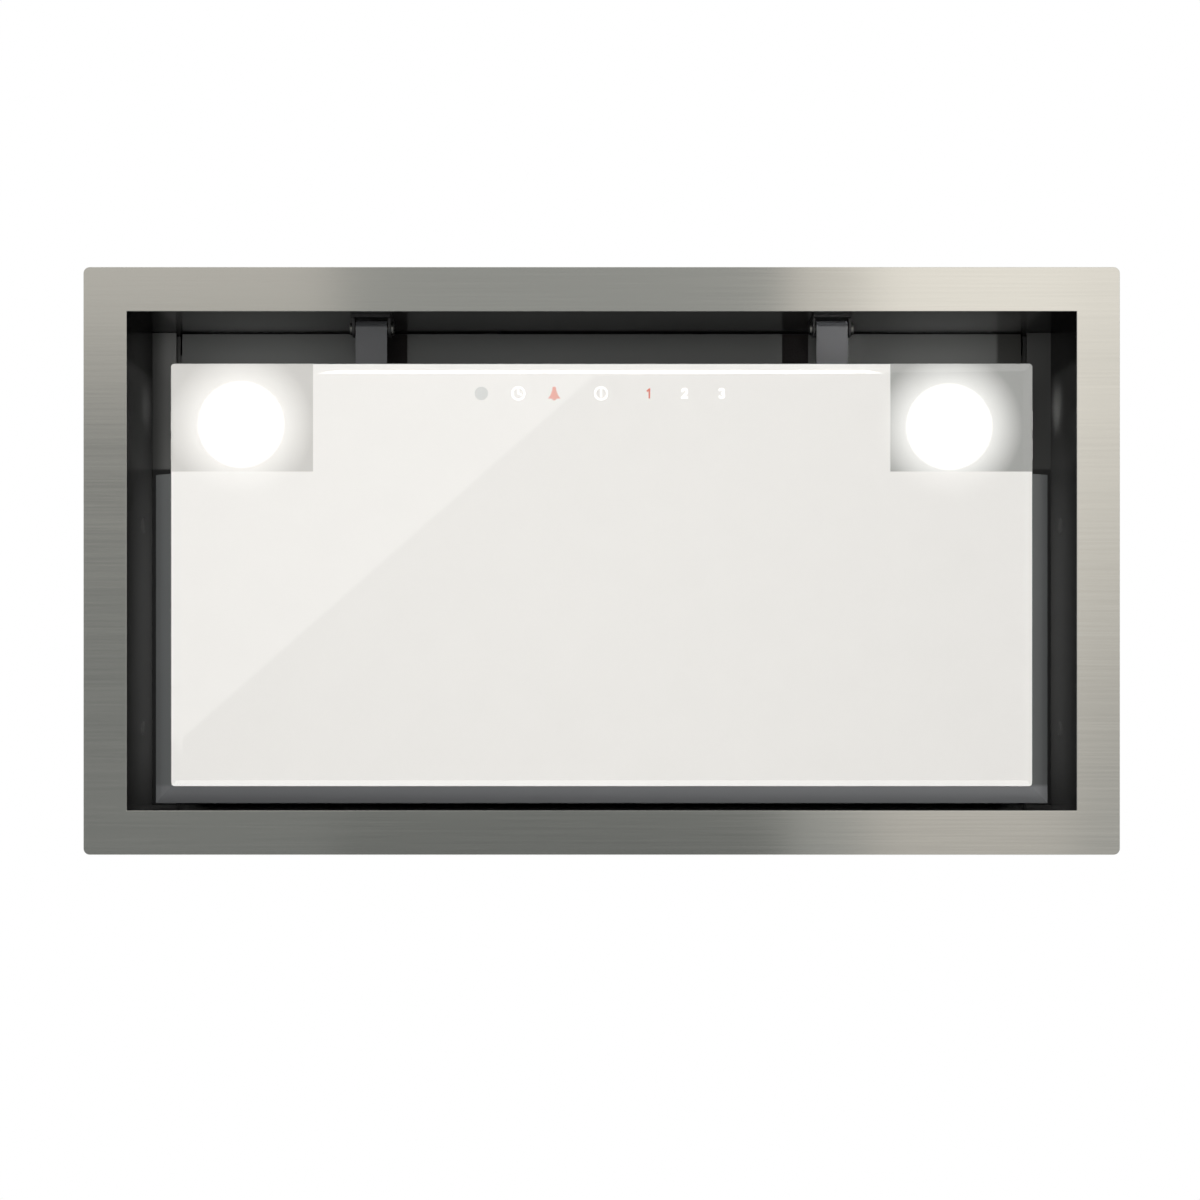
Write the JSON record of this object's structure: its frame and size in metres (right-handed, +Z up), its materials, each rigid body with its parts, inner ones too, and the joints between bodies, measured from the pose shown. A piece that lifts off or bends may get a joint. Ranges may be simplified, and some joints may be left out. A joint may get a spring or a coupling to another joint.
{
  "type": "built-in range hood",
  "caption": "Built-in range hood for a cabinet cut-out: steel flange, hinged white glass panel with touch keys, lamps, grease filter, blower and round duct collar.",
  "frame": {"origin": "middle of the flange's underside, as installed", "axes": "+Z up, -Y towards the cook, +X to the right when facing +Y"},
  "size_m": [0.492, 0.279, 0.285],
  "materials": {
    "flange_steel": "stainless steel, fine brush lines along the width",
    "casing_paint": "dark powder coat, fine orange peel",
    "ceiling_paint": "dark grey powder coat",
    "zinc_sheet": "galvanised sheet with faint spangle",
    "bright_zinc": "bright zinc plate",
    "white_glass": "toughened clear glass, white print on its back, grey frosted windows before the lamps",
    "panel_grey": "grey satin powder coat",
    "arm_paint": "grey satin lacquer with a metal sheen",
    "board_green": "solder mask",
    "black_plastic": "fine moulded texture",
    "magnet_black": "sintered ferrite",
    "lamp_satin": "satin aluminium",
    "lamp_lens": "frosted diffuser",
    "heat_sink": "plain extruded aluminium",
    "filter_aluminium": "rolled sheet and expanded mesh",
    "filter_wire": "drawn stainless wire",
    "spring_steel": "blued spring strip",
    "scroll_plastic": "moulded, fine grain",
    "wheel_zinc": "galvanised strip",
    "motor_case": "pressed steel can",
    "bush_rubber": "moulded rubber",
    "collar_plastic": "moulded, fine grain",
    "flap_plastic": "moulded, satin",
    "capacitor_case": "smooth moulded case"
  },
  "bodies": {
    "casing": {"trim_frame": "flange_steel", "front_wall": "casing_paint", "rear_wall": "casing_paint", "left_side": "casing_paint", "right_side": "casing_paint", "top_plate": "zinc_sheet", "left_rail": "ceiling_paint", "right_rail": "ceiling_paint", "suction_plate": "ceiling_paint", "plate_screws": "bright_zinc", "hinge_bracket_left": "casing_paint", "hinge_bracket_right": "casing_paint", "hinge_pins": "bright_zinc", "hinge_screws": "bright_zinc", "magnet_posts": "zinc_sheet", "catch_magnets": "magnet_black", "lamp_housing_left": "lamp_satin", "lamp_housing_right": "lamp_satin", "lamp_bezel_left": "lamp_satin", "lamp_bezel_right": "lamp_satin", "lamp_lens_left": "lamp_lens", "lamp_lens_right": "lamp_lens", "led_module_left": "heat_sink", "led_module_right": "heat_sink", "lamp_screws": "bright_zinc", "filter_clips": "spring_steel", "scroll_left": "scroll_plastic", "scroll_right": "scroll_plastic", "inlet_ring_left": "bright_zinc", "inlet_ring_right": "bright_zinc", "motor": "motor_case", "motor_bracket": "zinc_sheet", "motor_bushes": "bush_rubber", "bracket_screws": "bright_zinc", "collar_base": "collar_plastic", "duct_collar": "collar_plastic", "damper_pin": "bright_zinc", "collar_screws": "bright_zinc", "electronics_box": "black_plastic", "electronics_lid": "black_plastic", "control_board": "board_green", "run_capacitor": "capacitor_case", "cable_gland": "black_plastic"},
    "panel": {"glass_panel": "white_glass", "panel_tray": "panel_grey", "hinge_arm_left": "arm_paint", "hinge_arm_right": "arm_paint", "arm_screws": "bright_zinc", "touch_board": "board_green", "touch_housing": "black_plastic"},
    "filter": {"filter_frame": "filter_aluminium", "filter_mesh": "filter_aluminium", "filter_handle": "filter_wire"},
    "impeller": {"wheel_disc": "wheel_zinc", "blades_left": "wheel_zinc", "blades_right": "wheel_zinc", "wheel_rings": "wheel_zinc", "motor_shaft": "bright_zinc"},
    "flap_front": {"damper_flap_front": "flap_plastic"},
    "flap_rear": {"damper_flap_rear": "flap_plastic"}
  },
  "joints": [
    {"name": "panel_hinge", "type": "hinge", "parent": "casing", "child": "panel", "pos_m": [0, -0.1125, 0.015], "axis": [-1, 0, 0], "range_deg": [0, 90]},
    {"name": "filter_tilt", "type": "hinge", "parent": "casing", "child": "filter", "pos_m": [0, -0.04, 0.0612], "axis": [-1, 0, 0], "range_deg": [0, 12], "deforming": ["filter_clips"]},
    {"name": "impeller_spin", "type": "hinge", "parent": "casing", "child": "impeller", "pos_m": [0, -0.028, 0.158], "axis": [1, 0, 0], "continuous": true},
    {"name": "damper_front", "type": "hinge", "parent": "casing", "child": "flap_front", "pos_m": [0, 0.0262, 0.2533], "axis": [-1, 0, 0], "range_deg": [0, 78]},
    {"name": "damper_rear", "type": "hinge", "parent": "casing", "child": "flap_rear", "pos_m": [0, 0.0262, 0.2533], "axis": [1, 0, 0], "range_deg": [0, 78]}
  ]
}
